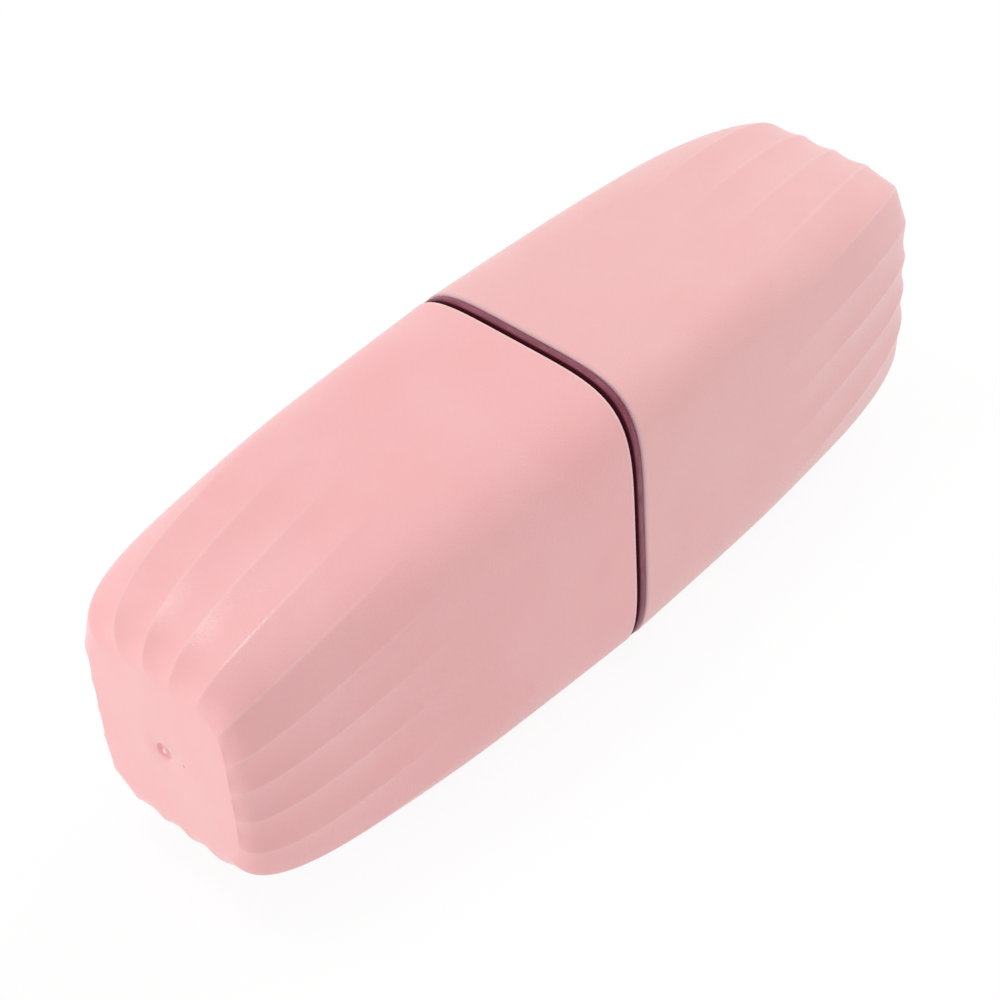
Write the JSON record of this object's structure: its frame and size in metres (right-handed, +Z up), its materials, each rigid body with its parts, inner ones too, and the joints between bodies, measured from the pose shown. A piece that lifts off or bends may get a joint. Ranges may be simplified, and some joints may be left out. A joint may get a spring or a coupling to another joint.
{
  "type": "toothbrush case",
  "caption": "Travel toothbrush case of paired fluted cups with a rounded rectangular section, joined by a plum coupling collar; the cap pulls straight off.",
  "frame": {"origin": "under the middle of the case as it lies on its side, on the surface it lies on", "axes": "+X along the case from the cap to the base cup, +Y across its narrow side, +Z up"},
  "size_m": [0.21, 0.0636, 0.0751],
  "materials": {
    "cup_pink": "satin moulded plastic with a fine spark-eroded grain",
    "collar_plum": "smooth moulded plastic"
  },
  "bodies": {
    "base": {"base_cup": "cup_pink", "neck_collar": "collar_plum"},
    "cap": {"cap_cup": "cup_pink"}
  },
  "joints": [
    {"name": "cap_pull", "type": "slide", "parent": "base", "child": "cap", "axis": [-1, 0, 0], "range_m": [0, 0.12]}
  ]
}
